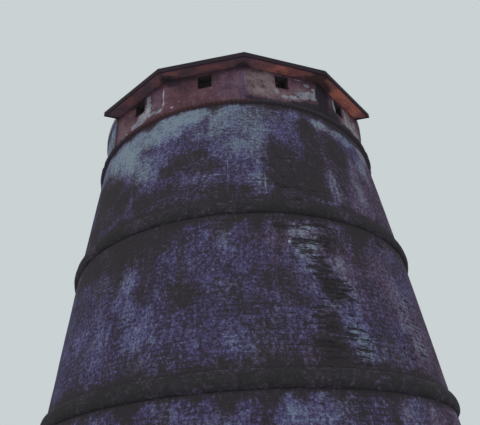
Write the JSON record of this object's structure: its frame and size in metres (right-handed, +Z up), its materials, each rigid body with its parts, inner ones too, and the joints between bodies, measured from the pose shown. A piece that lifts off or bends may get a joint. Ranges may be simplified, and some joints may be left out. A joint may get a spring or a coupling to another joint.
{
  "type": "masonry water tower",
  "caption": "Round tapering masonry water tower with rounded string courses, a thin ledge and a head whose red-painted bays of four flat faces have small square windows under wide eaves.",
  "frame": {"origin": "middle of the base ring, at ground level, on the tower's axis", "axes": "+Z up along the tower's axis; -Y is the front, which faces the middle corner of the head's front bay"},
  "size_m": [9.3288, 9.3288, 11.9529],
  "materials": {
    "limewashed_masonry": "rough, weathered limewash over brick with dark damp stains",
    "stained_roll": "rough, near-black lichen and damp over rendered brick",
    "ledge_brick": "rough, dark red-brown brick on edge",
    "red_paint": "dull maroon paint on plaster, peeled in patches",
    "floor_concrete": "rough bare concrete",
    "roof_boarding": "faded red-brown paint on boarding",
    "dark_fascia": "dark weathered board"
  },
  "bodies": {
    "root": {"base_roll_front": "stained_roll", "base_roll_right": "stained_roll", "base_roll_back": "stained_roll", "base_roll_left": "stained_roll", "lower_wall_front": "limewashed_masonry", "lower_wall_right": "limewashed_masonry", "lower_wall_back": "limewashed_masonry", "lower_wall_left": "limewashed_masonry", "lower_roll_front": "stained_roll", "lower_roll_right": "stained_roll", "lower_roll_back": "stained_roll", "lower_roll_left": "stained_roll", "middle_wall_front": "limewashed_masonry", "middle_wall_right": "limewashed_masonry", "middle_wall_back": "limewashed_masonry", "middle_wall_left": "limewashed_masonry", "middle_roll_front": "stained_roll", "middle_roll_right": "stained_roll", "middle_roll_back": "stained_roll", "middle_roll_left": "stained_roll", "upper_wall_front": "limewashed_masonry", "upper_wall_right": "limewashed_masonry", "upper_wall_back": "limewashed_masonry", "upper_wall_left": "limewashed_masonry", "ledge_front": "ledge_brick", "ledge_right": "ledge_brick", "ledge_back": "ledge_brick", "ledge_left": "ledge_brick", "tank_floor": "floor_concrete", "head_wall_1": "red_paint", "head_wall_2": "red_paint", "head_wall_3": "red_paint", "head_wall_4": "red_paint", "head_wall_5": "red_paint", "head_wall_6": "red_paint", "head_wall_7": "red_paint", "head_wall_8": "red_paint", "flank_wall_right": "limewashed_masonry", "flank_wall_left": "limewashed_masonry", "roof_deck": "roof_boarding", "fascia_front": "dark_fascia", "fascia_back": "dark_fascia"}
  },
  "joints": []
}
